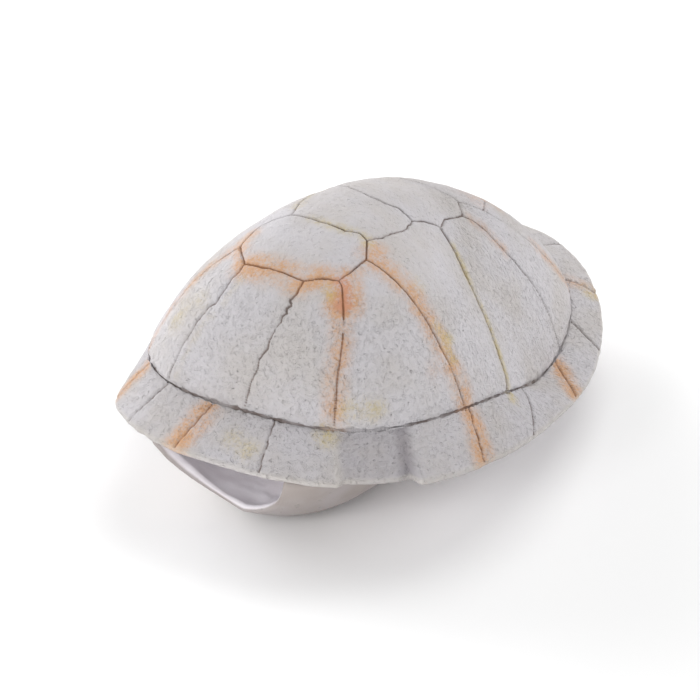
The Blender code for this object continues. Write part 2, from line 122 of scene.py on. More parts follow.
def outline_point(angle, outline, inset=0.0):
    radius = outline_radius(angle, outline) - inset
    raw_y = -radius * math.cos(angle)
    return Vector((radius * math.sin(angle) * narrowing(raw_y), raw_y + MIDDLE_Y, 0.0))


def plan_angle(x, y):
    raw_y = y - MIDDLE_Y
    return math.atan2(x / narrowing(raw_y), -raw_y)


def outline_share(x, y, outline):
    raw_y = y - MIDDLE_Y
    raw_x = x / narrowing(raw_y)
    return math.hypot(raw_x, raw_y) / outline_radius(math.atan2(raw_x, -raw_y), outline)


def underside_height(x, y):
    angle = plan_angle(x, y)
    inwards = outline_radius(angle, RIM) * max(0.0, 1.0 - outline_share(x, y, RIM))
    return waves(angle, RIM_HEIGHT) - UNDERSIDE_FALL * inwards


# %% [markdown]
# ## Points on the dome and the skirt
#
# Every point of the dome lies on a line from the crown to the groove, so two
# numbers say where it is: the plan angle, and the share of the way out. The
# skirt of marginal plates runs on from the groove to the rim. The inside of
# the dome follows the same profile, a bone's thickness in.

# %% Dome, skirt and cavity
def dome_profile(angle, share):
    crown_power = waves(angle, CROWN_POWER)
    shoulder_power = waves(angle, SHOULDER_POWER)
    return max(0.0, 1.0 - share ** crown_power) ** shoulder_power


def swell(spot):
    """The low swelling of the right shoulder over a plan point."""
    away = math.hypot(spot.x - SWELL_PLACE.x, spot.y - SWELL_PLACE.y) / SWELL_REACH
    return SWELL_HEIGHT * math.exp(-away * away)


def dome_point(angle, share):
    foot = outline_point(angle, GROOVE)
    foot.z = waves(angle, GROOVE_HEIGHT)
    spot = CROWN.lerp(foot, share)
    spot.z = foot.z + (CROWN.z - foot.z) * dome_profile(angle, share) + swell(spot)
    return spot


def waist_inset(angle):
    """How far the right side's rim draws in; the angle is in radians."""
    start, end = WAIST_SPAN
    part = (-math.degrees(angle) % 360.0 - start) / (end - start)
    if not 0.0 < part < 1.0:
        return 0.0
    return WAIST_DEPTH * math.sin(math.pi * part) ** WAIST_POWER


def skirt_point(angle, part):
    top = outline_point(angle, GROOVE, inset=-SKIRT_TOP_OUT)
    top.z = waves(angle, GROOVE_HEIGHT) - SKIRT_TOP_DROP
    edge = outline_point(angle, RIM, inset=waist_inset(angle))
    edge.z = waves(angle, RIM_HEIGHT) + RIM_EDGE
    spot = top.lerp(edge, part)
    spot.z += SKIRT_BULGE * 4.0 * part * (1.0 - part)
    return spot


def cavity_point(angle, share):
    foot = outline_point(angle, CAVITY)
    foot.z = underside_height(foot.x, foot.y) + SILL_THICKNESS
    roof = CROWN.z - SHELL_THICKNESS
    spot = CROWN.lerp(foot, share)
    spot.z = foot.z + (roof - foot.z) * dome_profile(angle, share)
    return spot


# shell_point halves this span of shares again and again
SEARCHED_SHARES = (0.01, 1.6)
HALVINGS = 24


def shell_point(x, y):
    """The point of the dome or the skirt over a plan point, both in metres."""
    low, high = SEARCHED_SHARES
    for _ in range(HALVINGS):
        share = 0.5 * (low + high)
        foot_x = CROWN.x + (x - CROWN.x) / share
        foot_y = CROWN.y + (y - CROWN.y) / share
        if outline_share(foot_x, foot_y, GROOVE) > 1.0:
            low = share
        else:
            high = share
    if share <= 1.0:
        return dome_point(plan_angle(foot_x, foot_y), share)
    angle = plan_angle(x, y)
    inner = outline_radius(angle, GROOVE)
    part = (outline_share(x, y, GROOVE) - 1.0) * inner / (outline_radius(angle, RIM) - inner)
    return skirt_point(angle, max(0.0, min(1.0, part)))


# %% [markdown]
# ## The closed skin of the carapace
#
# A UV sphere already has the layout that a shell needs: columns that run from
# pole to pole, and rings across them. Its rings are dealt out from the crown
# over the dome, the groove and the skirt, round the rim, and back under and
# up inside, so that the sphere becomes one closed piece of bone. Its cells are
# one to two millimetres wide. Each point also gets a zone, a number that tells
# the relief and the finish where on the shell it is.

# %% Rings of the carapace
COLUMNS = 320
DOME_RINGS = 62
SKIRT_RINGS = 13
UNDERSIDE_RINGS = 5
CAVITY_RINGS = 13
WELD = 0.01 * MM
DOME_ZONE = 0.0
GROOVE_SIDE_ZONE = -0.6
GROOVE_ZONE = -1.0
RIM_ZONE = 1.0
INSIDE_ZONE = 2.0


def dome_share(step):
    """Rings crowd towards the steep foot of the dome."""
    part = step / DOME_RINGS
    return 0.5 * part + 0.5 * math.sin(0.5 * math.pi * part)


def carapace_column(angle):
    """Points down one column, each with its zone; on the skirt it rises from 0 to 1."""
    points = [(dome_point(angle, dome_share(n)), DOME_ZONE)
              for n in range(1, DOME_RINGS + 1)]
    foot = points[-1][0]
    deep = outline_point(angle, GROOVE, inset=GROOVE_CUT)
    deep.z = waves(angle, GROOVE_HEIGHT) - GROOVE_SIDE_DROP
    bed = outline_point(angle, GROOVE, inset=GROOVE_BED_INSET)
    bed.z = waves(angle, GROOVE_HEIGHT) - GROOVE_BED_DROP
    points.append((foot.lerp(deep, 0.5), GROOVE_SIDE_ZONE))
    points += [(deep, GROOVE_ZONE), (bed, GROOVE_ZONE)]
    points += [(skirt_point(angle, n / SKIRT_RINGS), n / SKIRT_RINGS)
               for n in range(SKIRT_RINGS + 1)]
    edge = points[-1][0]
    middle = edge + Vector((0.0, 0.0, -0.5 * RIM_EDGE))
    rim_foot = outline_point(angle, RIM, inset=RIM_ROUNDING + waist_inset(angle))
    rim_foot.z = waves(angle, RIM_HEIGHT)
    points += [(middle, RIM_ZONE), (rim_foot, RIM_ZONE)]
    sill = outline_point(angle, SILL)
    for step in range(1, UNDERSIDE_RINGS + 1):
        spot = rim_foot.lerp(sill, step / UNDERSIDE_RINGS)
        spot.z = underside_height(spot.x, spot.y)
        points.append((spot, INSIDE_ZONE))
    points.append((spot + Vector((0.0, 0.0, SILL_THICKNESS)), INSIDE_ZONE))
    for step in range(CAVITY_RINGS):
        share = math.sin(0.5 * math.pi * (1.0 - step / CAVITY_RINGS))
        points.append((cavity_point(angle, share), INSIDE_ZONE))
    return points


# %% A sphere moved ring by ring
def ball_from_columns(count, column_points, top, bottom):
    """A UV sphere whose points are moved to the columns' places; zones go in a layer."""
    grid = [column_points(2.0 * math.pi * n / count) for n in range(count)]
    rings = len(grid[0])
    ball = bmesh.new()
    zone = ball.verts.layers.float.new("zone")
    bmesh.ops.create_uvsphere(ball, u_segments=count, v_segments=rings + 1, radius=1.0)
    turn = 2.0 * math.pi / count
    for vertex in ball.verts:
        x, y, z = vertex.co
        ring = round(math.acos(max(-1.0, min(1.0, z))) / math.pi * (rings + 1)) - 1
        if ring < 0:
            vertex.co, vertex[zone] = top
        elif ring >= rings:
            vertex.co, vertex[zone] = bottom
        else:
            column = grid[round(math.atan2(x, -y) / turn) % count]
            vertex.co, vertex[zone] = column[ring]
    bmesh.ops.remove_doubles(ball, verts=ball.verts, dist=WELD)
    bmesh.ops.recalc_face_normals(ball, faces=ball.faces)
    return ball


roof = Vector((CROWN.x, CROWN.y, CROWN.z - SHELL_THICKNESS))
crown_top = CROWN + Vector((0.0, 0.0, swell(CROWN)))
shell = ball_from_columns(
    COLUMNS, carapace_column, (crown_top, DOME_ZONE), (roof, INSIDE_ZONE))
print("carapace base:", len(shell.verts), "points,", len(shell.faces), "faces")

# %% [markdown]
# ## The seams
#
# Scutes meet in narrow cracks. Each one is drawn from above, in millimetres,
# as a few points with the turns that the real crack takes. The widest crack is
# a bit over a millimetre across, and some are no more than a scratch.

# %% Seams on the dome, in plan
# name: half width, waver (both in millimetres) and the points
SEAMS = {
    "first vertebral": (0.38, 0.2, (
        (-15.5, -52), (-9, -52.5), (-1.5, -52.7), (5.5, -53.5), (10.5, -51.2), (15.5, -49.8),
        (17.4, -45.4), (18.6, -39), (15.3, -32.6), (12, -31.3), (8, -33.2), (3, -32.6),
        (-4.5, -31.8), (-11.7, -31.2), (-17, -33), (-20.2, -35.5), (-21.6, -45), (-15.5, -52))),
    "second vertebral left": (0.34, 0.25, (
        (15.3, -32.6), (17.6, -27.5), (18, -22.5), (18.4, -16), (16.5, -6.5))),
    "second vertebral right": (0.34, 0.25, (
        (-11.7, -31.2), (-14.4, -20), (-14.6, -13), (-13, -4.5))),
    "second vertebral rear": (0.34, 0.25, (
        (16.5, -6.5), (11.6, -6.6), (8.5, -9.2), (3, -9.6), (-4, -8), (-13, -4.5))),
    "third vertebral left": (0.34, 0.25, (
        (16.5, -6.5), (18.2, -1.6), (21.3, 2.7), (20.2, 8), (21.3, 17.5), (16.5, 24))),
    "third vertebral right": (0.34, 0.25, (
        (-13, -4.5), (-19, 0), (-21, 4), (-20.5, 17), (-15.5, 24.5))),
    "third vertebral rear": (0.31, 0.25, ((16.5, 24), (6, 22.5), (-5, 23.2), (-15.5, 24.5))),
    "fourth vertebral left": (0.31, 0.3, ((16.5, 24), (20.5, 34), (14.5, 46.5))),
    "fourth vertebral right": (0.31, 0.3, ((-15.5, 24.5), (-20, 35), (-14, 46))),
    "fourth vertebral rear": (0.31, 0.3, ((14.5, 46.5), (0, 45), (-14, 46))),
    "midline": (0.42, 0.3, (
        (5.5, -53.5), (5.7, -57), (4.4, -59), (5.2, -60), (4.2, -61), (5.0, -62), (3.9, -62.8),
        (4.3, -64), (3.2, -66.4), (2.8, -68.2), (2.9, -69.6), (1.3, -71.6), (1.7, -73.1),
        (0.7, -75.5), (-0.4, -80.5))),
    "first left": (0.40, 0.15, (
        (15.5, -49.8), (17.3, -51), (19.6, -54.4), (22.2, -58.6), (24.2, -63), (25.8, -68.4),
        (27.7, -73.2), (28.9, -77))),
    "first right": (0.36, 0.45, (
        (-15.5, -52), (-16, -54.5), (-17.7, -58), (-18.8, -61), (-19.1, -62.6), (-20.8, -63.4),
        (-23.9, -67.2), (-26.5, -71.1), (-29.8, -76.5))),
    "second left": (0.36, 0.15, (
        (18.6, -39), (25.4, -38.2), (31.8, -37.9), (40.4, -38.6), (47.4, -39.6), (55.5, -41.5))),
    "second right": (0.31, 0.3, ((-21.6, -45), (-27.8, -48.6), (-34, -51.8), (-46.5, -62))),
    "third left": (0.62, 0.2, (
        (21.3, 2.7), (26, 1.8), (34.7, -2.3), (44.7, -7.6), (52, -12), (57.5, -18))),
    "third right": (0.34, 0.3, ((-21, 4), (-27, 2), (-35.5, -3), (-45, -9), (-57.5, -20))),
    "fourth left": (0.36, 0.34, (
        (21.3, 17.5), (23.5, 21.5), (26.3, 23.8), (29.3, 25.2), (33, 28.2), (37.1, 32.1),
        (41.4, 35.1), (44.2, 35.9), (47.4, 36.1))),
    "fourth right": (0.31, 0.3, ((-20.5, 17), (-28, 24), (-35.5, 30), (-43, 35), (-51.5, 38))),
    "fifth left": (0.31, 0.3, ((20.5, 34), (27, 43), (33, 54), (39, 68.5))),
    "fifth right": (0.31, 0.3, ((-20, 35), (-26, 44), (-33, 55), (-38, 68))),
    "sixth left": (0.31, 0.3, ((14.5, 46.5), (19, 60), (26.5, 79))),
    "sixth right": (0.31, 0.3, ((-14, 46), (-18.5, 60), (-26, 79))),
}
# Seams between marginal plates: plan angle at the groove and at the rim, in degrees
MARGINAL_SEAMS = (
    (7.5, 8.5), (20.5, 22.5), (33.0, 34.0), (36.0, 36.8), (54.0, 53.0),
    (88.0, 71.0), (122.0, 102.0), (139.5, 129.5), (154.0, 149.0), (168.0, 166.0))
# The right side has no channel, so its third seam stands alone
RIGHT_SEAMS = MARGINAL_SEAMS[:2] + ((31.0, 33.0),) + MARGINAL_SEAMS[4:]
MARGINAL_HALF_WIDTH = 0.33

# %% [markdown]
# To find out how far any point of the skin is from the nearest seam, the seams
# are sampled every quarter of a millimetre on the curved surface, and the
# samples go into a k-d tree. Noise pushes each sample sideways a little, so
# the crack wavers, and also makes it wider and narrower along its length.

# %% Samples along a seam
SAMPLE_STEP = 0.25 * MM


def along(points):
    """Plan points every sample step along a polyline in millimetres, with their share."""
    spots = [Vector((x, y, 0.0)) * MM for x, y in points]
    lengths = [(b - a).length for a, b in zip(spots, spots[1:])]
    whole = sum(lengths)
    walked = 0.0
    for start, end, length in zip(spots, spots[1:], lengths):
        for step in range(max(1, round(length / SAMPLE_STEP))):
            part = step * SAMPLE_STEP / length
            side = (end - start).cross(Vector((0.0, 0.0, 1.0))).normalized()
            yield start.lerp(end, min(part, 1.0)), side, (walked + part * length) / whole
        walked += length


def wander(place, scale, salt):
    """Smooth noise between -1 and 1; scale is its wavelength, salt picks another pattern."""
    return noise.noise(place / scale + Vector((salt, 2.0 * salt, 0.0)))


# How far a seam is drawn on past its last point, in millimetres
SEAM_OVERRUN = 14.0


def to_the_groove(points):
    """The points and one more past the groove, in the direction of the last stretch."""
    (x_before, y_before), (x_end, y_end) = points[-2:]
    reach = SEAM_OVERRUN / math.hypot(x_end - x_before, y_end - y_before)
    return points + ((x_end + (x_end - x_before) * reach, y_end + (y_end - y_before) * reach),)


# %% All seams as samples
# The seams round the sunken plate are steps without a crack
PLAIN_STEPS = (1, 2, 3)
PLAIN_STEP_WIDTH = 0.04 * MM
# No seam of the dome is kept past this share of the way to the groove
SEAM_END = 1.005
BEND_SCALE = 2.2 * MM
KINK_SCALE = 0.9 * MM
KINK_SHARE = 0.5
WIDTH_SCALE = 5.0 * MM
WIDTH_CHANGE = 0.5
# One seam is hardly open for a short stretch
THIN_SEAM = "first left"
THIN_START = 0.23
THIN_END = 0.30
THIN_WIDTH = 0.4
MARGINAL_SAMPLES = 80
MARGINAL_LENGTH = 18.0
MARGINAL_WAVER = 0.005
MARGINAL_WAVER_SCALE = 2.5 * MM
MARGINAL_WIDTH_CHANGE = 0.4
seam_samples = []
for name, (half_width, waver, points) in SEAMS.items():
    reaching = points if "vertebral" in name else to_the_groove(points)
    for plan, side, share in along(reaching):
        if outline_share(plan.x, plan.y, GROOVE) > SEAM_END:
            continue
        bend = wander(plan, BEND_SCALE, 3.1) + KINK_SHARE * wander(plan, KINK_SCALE, 7.7)
        push = waver * MM * bend
        spot = shell_point(plan.x + side.x * push, plan.y + side.y * push)
        width = half_width * MM * (1.0 + WIDTH_CHANGE * wander(plan, WIDTH_SCALE, 1.3))
        if name == THIN_SEAM and THIN_START < share < THIN_END:
            width *= THIN_WIDTH
        seam_samples.append((spot, width))
for side, seams in ((1.0, MARGINAL_SEAMS), (-1.0, RIGHT_SEAMS)):
    for number, (groove_angle, rim_angle) in enumerate(seams):
        for step in range(MARGINAL_SAMPLES):
            part = step / (MARGINAL_SAMPLES - 1)
            angle = math.radians(side * (groove_angle + (rim_angle - groove_angle) * part))
            along_seam = Vector((part * MARGINAL_LENGTH * MM, number * MM, side))
            waver = wander(along_seam, MARGINAL_WAVER_SCALE, 5.0)
            spot = skirt_point(angle + MARGINAL_WAVER * waver, part)
            width = MARGINAL_HALF_WIDTH * MM * (1.0 + MARGINAL_WIDTH_CHANGE * waver)
            if side > 0.0 and number in PLAIN_STEPS:
                width = PLAIN_STEP_WIDTH
            seam_samples.append((spot, width))
seam_tree = KDTree(len(seam_samples))
for index, (spot, _) in enumerate(seam_samples):
    seam_tree.insert(spot, index)
seam_tree.balance()
print("seam samples:", len(seam_samples))

# %% [markdown]
# ## Finer cells where the cracks run
#
# A crack half a millimetre wide needs cells of about a quarter of one, but
# such cells everywhere would make the piece far too heavy. So only faces near
# a seam are subdivided, once in a wide band and once more in a narrow one.

# %% Subdivide along the seams
FINE_BANDS = (2.0 * MM, 1.1 * MM)
zone = shell.verts.layers.float["zone"]
for band in FINE_BANDS:
    near = {vertex for vertex in shell.verts
            if vertex[zone] <= RIM_ZONE and seam_tree.find(vertex.co)[2] < band}
    faces = [face for face in shell.faces if not near.isdisjoint(face.verts)]
    edges = {edge for face in faces for edge in face.edges}
    bmesh.ops.subdivide_edges(shell, edges=list(edges), cuts=1, use_grid_fill=True)
print("after subdividing:", len(shell.faces), "faces")

# %% [markdown]
# ## Relief
#
# Three things shape the surface. On the left the skirt steps in at one sunken
# marginal plate and a narrow channel behind it, both painted darker as shade,
# and a ridge, painted lighter as a highlight, stands where the sunken plate
# starts. The seams are V-shaped cracks with worn shoulders.
# And the bone itself is never flat: it swells and dips by a few tenths of a
# millimetre, as if pressed by thumbs.

# %% Sunken panel and channel on the skirt
PANEL_SEAM = 1
CHANNEL_SEAM = 2
PROUD_SEAM = 3
PANEL_DEPTH = 2.4 * MM
CHANNEL_DEPTH = 3.4 * MM
PROUD_PLATE = -0.5 * MM
# The plate behind the channel falls back to the skirt before this angle
PROUD_END = 54.0
PROUD_RUN = 14.0
# Half of each step's slope, in degrees
STEP_DEGREES = {PANEL_SEAM: 0.7, CHANNEL_SEAM: 1.5, PROUD_SEAM: 1.2}
RIDGE_HEIGHT = 0.8 * MM
RIDGE_DEGREES = 0.7
# Share of the inset that is left at the groove
SKIRT_TOP_SHARE = 0.3
# Painted shade: how much darker the skirt, the sunken plate and the channel are painted
SKIRT_PAINTED_SHADE = 0.25
PANEL_PAINTED_SHADE = 0.6
CHANNEL_PAINTED_SHADE = 1.0


def ease(value):
    value = max(0.0, min(1.0, value))
    return value * value * (3.0 - 2.0 * value)


def seam_line(seam, part):
    """Plan angle of a marginal seam of the left side, in degrees."""
    groove_angle, rim_angle = MARGINAL_SEAMS[seam]
    return groove_angle + (rim_angle - groove_angle) * part


def passed(angle, seam, part):
    """0 before a marginal seam, 1 after it, with a short slope between."""
    return ease(0.5 + 0.5 * (angle - seam_line(seam, part)) / STEP_DEGREES[seam])


def ridge(angle, part):
    """1 on the ridge where the sunken plate starts, 0 away from it."""
    away = (angle - seam_line(PANEL_SEAM, part)) / RIDGE_DEGREES
    return math.exp(-away * away)


def skirt_inset(angle, part):
    """How far the skirt is set in; the angle is in degrees, above 0 on the left."""
    if angle <= 0.0:
        return 0.0
    fade = ease((PROUD_END - angle) / PROUD_RUN)
    inset = PANEL_DEPTH * passed(angle, PANEL_SEAM, part)
    inset += (CHANNEL_DEPTH - PANEL_DEPTH) * passed(angle, CHANNEL_SEAM, part)
    inset += (PROUD_PLATE * fade - CHANNEL_DEPTH) * passed(angle, PROUD_SEAM, part)
    return inset - RIDGE_HEIGHT * ridge(angle, part)


def painted_skirt_shade(angle, part):
    """How much painted shade darkens the skirt, most of all in the channel."""
    if angle <= 0.0:
        return SKIRT_PAINTED_SHADE
    painted_shade = SKIRT_PAINTED_SHADE + (PANEL_PAINTED_SHADE - SKIRT_PAINTED_SHADE) * passed(angle, PANEL_SEAM, part)
    painted_shade += (CHANNEL_PAINTED_SHADE - PANEL_PAINTED_SHADE) * passed(angle, CHANNEL_SEAM, part)
    return painted_shade + (SKIRT_PAINTED_SHADE - CHANNEL_PAINTED_SHADE) * passed(angle, PROUD_SEAM, part)


# %% Stains that follow seams
# seam, from and to as shares of its length, reach in millimetres, shift, strength
ORANGE_SEAMS = (
    ("first vertebral", 0.00, 0.26, 4.4, 0.4, 0.95),
    ("first vertebral", 0.86, 1.00, 3.4, 0.0, 0.7),
    ("first vertebral", 0.34, 0.40, 3.0, 1.5, 0.5),
    ("first left", 0.02, 0.26, 4.6, 0.0, 1.35),
    ("first left", 0.26, 1.00, 3.4, 0.3, 0.75),
    ("second left", 0.02, 0.45, 4.2, -1.4, 0.85),
    ("second left", 0.45, 1.00, 4.0, -0.6, 0.85),
    ("fourth left", 0.12, 0.45, 2.8, 0.0, 0.55),
    ("fifth left", 0.50, 1.00, 3.5, 0.0, 0.6),
    ("second right", 0.10, 1.00, 3.2, 0.5, 0.6),
    ("third right", 0.00, 0.35, 3.0, 0.0, 0.5),
    ("fifth right", 0.30, 1.00, 3.2, 0.0, 0.6),
    ("fourth vertebral rear", 0.00, 1.00, 3.0, 0.0, 0.5),
)
YELLOW_SEAMS = (
    ("third left", 0.10, 1.00, 2.0, -0.3, 0.75),
    ("second left", 0.58, 0.76, 2.2, -2.4, 0.65),
    ("first vertebral", 0.46, 0.66, 2.4, 0.0, 0.6),
    ("fourth right", 0.10, 0.80, 2.4, 0.0, 0.7),
    ("second vertebral right", 0.20, 0.90, 2.4, 0.0, 0.5),
    ("first right", 0.10, 0.90, 1.6, -3.0, 0.35),
)
# side, number of the marginal seam, reach, strength
ORANGE_MARGINS = (
    (-1.0, 0, 4.2, 0.95), (-1.0, 2, 3.2, 0.8), (1.0, 4, 3.6, 0.95), (1.0, 6, 3.4, 0.95),
    (1.0, 8, 3.4, 0.6), (-1.0, 4, 3.6, 0.7), (-1.0, 6, 3.4, 0.8), (-1.0, 8, 3.4, 0.6))
# middle in plan millimetres, radius and strength
ORANGE_PATCHES = (
    ((19.5, -34.5), 4.5, 0.75), ((13, 38.5), 7.0, 0.5), ((16, 49), 5.0, 0.5),
    ((36, 72), 6.0, 0.8), ((46, -45), 4.0, 0.4), ((-12, 52), 6.0, 0.5))
YELLOW_PATCHES = (
    ((44, -34.4), 2.2, 0.8), ((32, -71), 4.2, 0.6), ((37, -67), 4.0, 0.6),
    ((-33, -62), 6.0, 0.5), ((-26, -61), 5.0, 0.4), ((27, -77), 3.6, 0.8),
    ((2, -87), 4.0, 0.5), ((8, -89), 4.0, 0.6), ((43, 72), 4.0, 0.7), ((-40, 20), 6.0, 0.4),
    ((32, -31), 4.0, 0.4), ((15, -53.5), 3.0, 0.7))


# %% Stain samples and how they fade
# A stain fades out at this many times its reach
STAIN_SPREAD = 2.1
STAIN_EVERY = 4
MARGIN_SPOTS = 20
NEIGHBOURS = 14


def stain_samples(stained_seams, margins, patches):
    """Spots along the stained seams and in the patches, each with reach and strength."""
    samples = []
    for name, start, end, reach, shift, strength in stained_seams:
        for number, (plan, side, share) in enumerate(along(SEAMS[name][2])):
            if start <= share <= end and number % STAIN_EVERY == 0:
                spot = shell_point(plan.x + side.x * shift * MM, plan.y + side.y * shift * MM)
                samples.append((spot, reach * MM, strength))
    for side, number, reach, strength in margins:
        seams = MARGINAL_SEAMS if side > 0.0 else RIGHT_SEAMS
        groove_angle, rim_angle = seams[number]
        for step in range(MARGIN_SPOTS):
            part = step / (MARGIN_SPOTS - 1)
            angle = math.radians(side * (groove_angle + (rim_angle - groove_angle) * part))
            samples.append((skirt_point(angle, part), reach * MM, strength))
    for (x, y), radius, strength in patches:
        samples.append((shell_point(x * MM, y * MM), radius * MM, strength))
    return samples


def stain_finder(samples):
    """A function that gives the stain's strength at a place."""
    tree = KDTree(len(samples))
    for index, (spot, _, _) in enumerate(samples):
        tree.insert(spot, index)
    tree.balance()

    def strength_at(place):
        most = 0.0
        for _, index, away in tree.find_n(place, NEIGHBOURS):
            _, reach, strength = samples[index]
            most = max(most, strength * (1.0 - ease(away / (STAIN_SPREAD * reach))))
        return most

    return strength_at


orange_at = stain_finder(stain_samples(ORANGE_SEAMS, (), ORANGE_PATCHES))
margin_orange_at = stain_finder(stain_samples((), ORANGE_MARGINS, ()))
yellow_at = stain_finder(stain_samples(YELLOW_SEAMS, (), YELLOW_PATCHES))

# %% [markdown]
# ## Cutting the relief into the skin
#
# Each point moves along its own normal. The same pass writes what the finish
# needs to know later: how deep in a crack the point is, with the painted shade
# of the groove's bed in the same layer, how stained it is, how much painted
# shade darkens the skirt, how worn the rim is and how much painted highlight
# the ridge gets, and a grain direction that runs down the slope of the shell,
# for the short chisel-like strokes in the bone. The strokes would crowd into a
# star at the crown, so they only start some way down from it.

# %% Unevenness, painted groove shade and chips
BROAD_SWELL = 0.24
BROAD_SCALE = 9.0 * MM
NARROW_SWELL = 0.13
NARROW_SCALE = 3.6 * MM
# Painted shade: how dark the groove's bed is painted
GROOVE_PAINTED_SHADE = 0.62
GROOVE_SHADE_CHANGE = 0.9
GROOVE_SHADE_SCALE = 3.0 * MM
# The groove's painted shade is lighter over the sunken plate, and towards the tail
PANEL_FADE = 0.75
REAR_FADE = 0.7
REAR_START = 112.0
REAR_RUN = 22.0
CHIP_DEPTH = 1.1 * MM
CHIP_SCALE = 5.0 * MM
CHIP_LEVEL = 0.35
NIBBLE_DEPTH = 0.3 * MM
NIBBLE_SCALE = 2.2 * MM


def unevenness(place):
    """How far the bone swells or dips at a place, in metres."""
    broad = BROAD_SWELL * wander(place, BROAD_SCALE, 11.0)
    return MM * (broad + NARROW_SWELL * wander(place, NARROW_SCALE, 4.0))


def groove_painted_shade(place, side, kind):
    """How dark the painted shade in the bed of the groove is; side is the plan angle in degrees.
    """
    over_panel = passed(side, PANEL_SEAM, 0.0) - passed(side, PROUD_SEAM, 0.0)
    at_rear = ease((abs(side) - REAR_START) / REAR_RUN)
    bed = max(0.0, -kind) * GROOVE_PAINTED_SHADE * (1.0 - PANEL_FADE * over_panel)
    bed *= 1.0 - REAR_FADE * at_rear
    return bed * (1.0 + GROOVE_SHADE_CHANGE * wander(place, GROOVE_SHADE_SCALE, 2.0))


def chipping(place):
    """How far the rim is chipped and nibbled away at a place."""
    chip = CHIP_DEPTH * max(0.0, wander(place, CHIP_SCALE, 8.0) - CHIP_LEVEL)
    return chip + NIBBLE_DEPTH * wander(place, NIBBLE_SCALE, 9.0)


# %% Displace the carapace
SEAM_DEPTH = 0.9 * MM
CRACK_SHARE = 0.85
CRACK_POWER = 0.8
SHOULDER_SHARE = 0.25
# Narrower seams are cut less deep
FULL_DEPTH_WIDTH = 0.35 * MM
# The worn shoulders reach this many half widths from the seam
SHOULDER = 3.6
CRACK_GAIN = 1.6
GRAIN_RADIUS = 40.0
GRAIN_STRETCH = 0.5
# Strokes start and are full this far from the crown, in millimetres
CHISEL_START = 30.0
CHISEL_FULL = 48.0
RELIEF_MARGIN = 0.2 * MM
RAGGED_REACH = 2.5 * MM
RAGGED_HEIGHT = 0.5 * MM
RAGGED_SCALE = 1.7 * MM
# Points with a higher zone are underneath or inside, and have no seams
OUTSIDE_LIMIT = 1.01
# Shares of the way from the groove to the rim, where each thing starts and its run
SHADE_RUN = 0.08
CHIPS_FROM = 0.85
CHIPS_RUN = 0.15
WEAR_FROM = 0.93
WEAR_RUN = 0.07
# The ridge is painted lighter by this share, as a painted highlight
RIDGE_HIGHLIGHT = 0.8
# The skirt's painted shade fades from this angle towards the tail
SHADE_END = 70.0
SHADE_FADE = 50.0
for name in ("crack_and_groove_shade", "orange", "yellow", "chisel", "painted_shade", "wear_and_highlight"):
    shell.verts.layers.float.new(name)
shell.verts.layers.float_vector.new("grain")
floats = shell.verts.layers.float
zone = floats["zone"]
grain_layer = shell.verts.layers.float_vector["grain"]
shell.normal_update()
moves = []
for vertex in shell.verts:
    place = vertex.co.copy()
    kind = vertex[zone]
    angle = plan_angle(place.x, place.y)
    side = math.degrees(angle)
    slope = (place - CROWN).length / MM
    vertex[grain_layer] = Vector((
        GRAIN_RADIUS * math.sin(angle), GRAIN_RADIUS * math.cos(angle), GRAIN_STRETCH * slope))
    push = unevenness(place)
    shift = Vector((0.0, 0.0, 0.0))
    if kind <= OUTSIDE_LIMIT:
        _, index, away = seam_tree.find(place)
        width = seam_samples[index][1]
        depth = max(0.0, 1.0 - away / width)
        shoulder = max(0.0, 1.0 - away / (SHOULDER * width)) ** 2
        full = min(1.0, width / FULL_DEPTH_WIDTH)
        cut = CRACK_SHARE * depth ** CRACK_POWER + SHOULDER_SHARE * shoulder
        push -= SEAM_DEPTH * cut * full
        off_groove = abs(outline_share(place.x, place.y, GROOVE) - 1.0)
        off_groove *= outline_radius(angle, GROOVE)
        near_groove = max(0.0, 1.0 - off_groove / RAGGED_REACH)
        push += RAGGED_HEIGHT * near_groove * wander(place, RAGGED_SCALE, 6.0)
        # The groove's painted shade goes into the crack layer and is painted crack brown
        groove_shade = min(1.0, groove_painted_shade(place, side, kind))
        vertex[floats["crack_and_groove_shade"]] = max(min(1.0, CRACK_GAIN * depth * full), groove_shade)
        stain = orange_at(place) if kind <= DOME_ZONE else margin_orange_at(place)
        vertex[floats["orange"]] = stain
        vertex[floats["yellow"]] = yellow_at(place)
        vertex[floats["chisel"]] = ease((slope - CHISEL_START) / (CHISEL_FULL - CHISEL_START))
        push -= RELIEF_MARGIN
    if kind > DOME_ZONE:
        part = min(kind, RIM_ZONE)
        outside = max(0.0, min(1.0, INSIDE_ZONE - kind))
        weight = SKIRT_TOP_SHARE + (1.0 - SKIRT_TOP_SHARE) * part
        chip = chipping(place) * ease((part - CHIPS_FROM) / CHIPS_RUN)
        inset = skirt_inset(side, part) * weight + chip
        shift = Vector((-place.x, MIDDLE_Y - place.y, 0.0)).normalized() * inset * outside
        # Painted shade on the skirt, darkest in the channel and fading towards the tail
        lit = 1.0 - ease((abs(side) - SHADE_END) / SHADE_FADE)
        painted_shade = painted_skirt_shade(side, part) * outside * ease(part / SHADE_RUN)
        vertex[floats["painted_shade"]] = painted_shade * lit
        # Wear lightens the rim edge; the ridge gets a painted highlight
        rim_wear = ease((part - WEAR_FROM) / WEAR_RUN)
        vertex[floats["wear_and_highlight"]] = max(rim_wear, RIDGE_HIGHLIGHT * ridge(side, part)) * outside
    moves.append((vertex, vertex.normal * push + shift))
for vertex, move in moves:
    vertex.co += move


# %% [markdown]
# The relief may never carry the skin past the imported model's box, so the few
# points that stand proud of it are brought back.

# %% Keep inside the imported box, then make the object
def keep_inside(builder, low, high):
    for vertex in builder.verts:
        for axis in range(3):
            vertex.co[axis] = max(low[axis], min(high[axis], vertex.co[axis]))


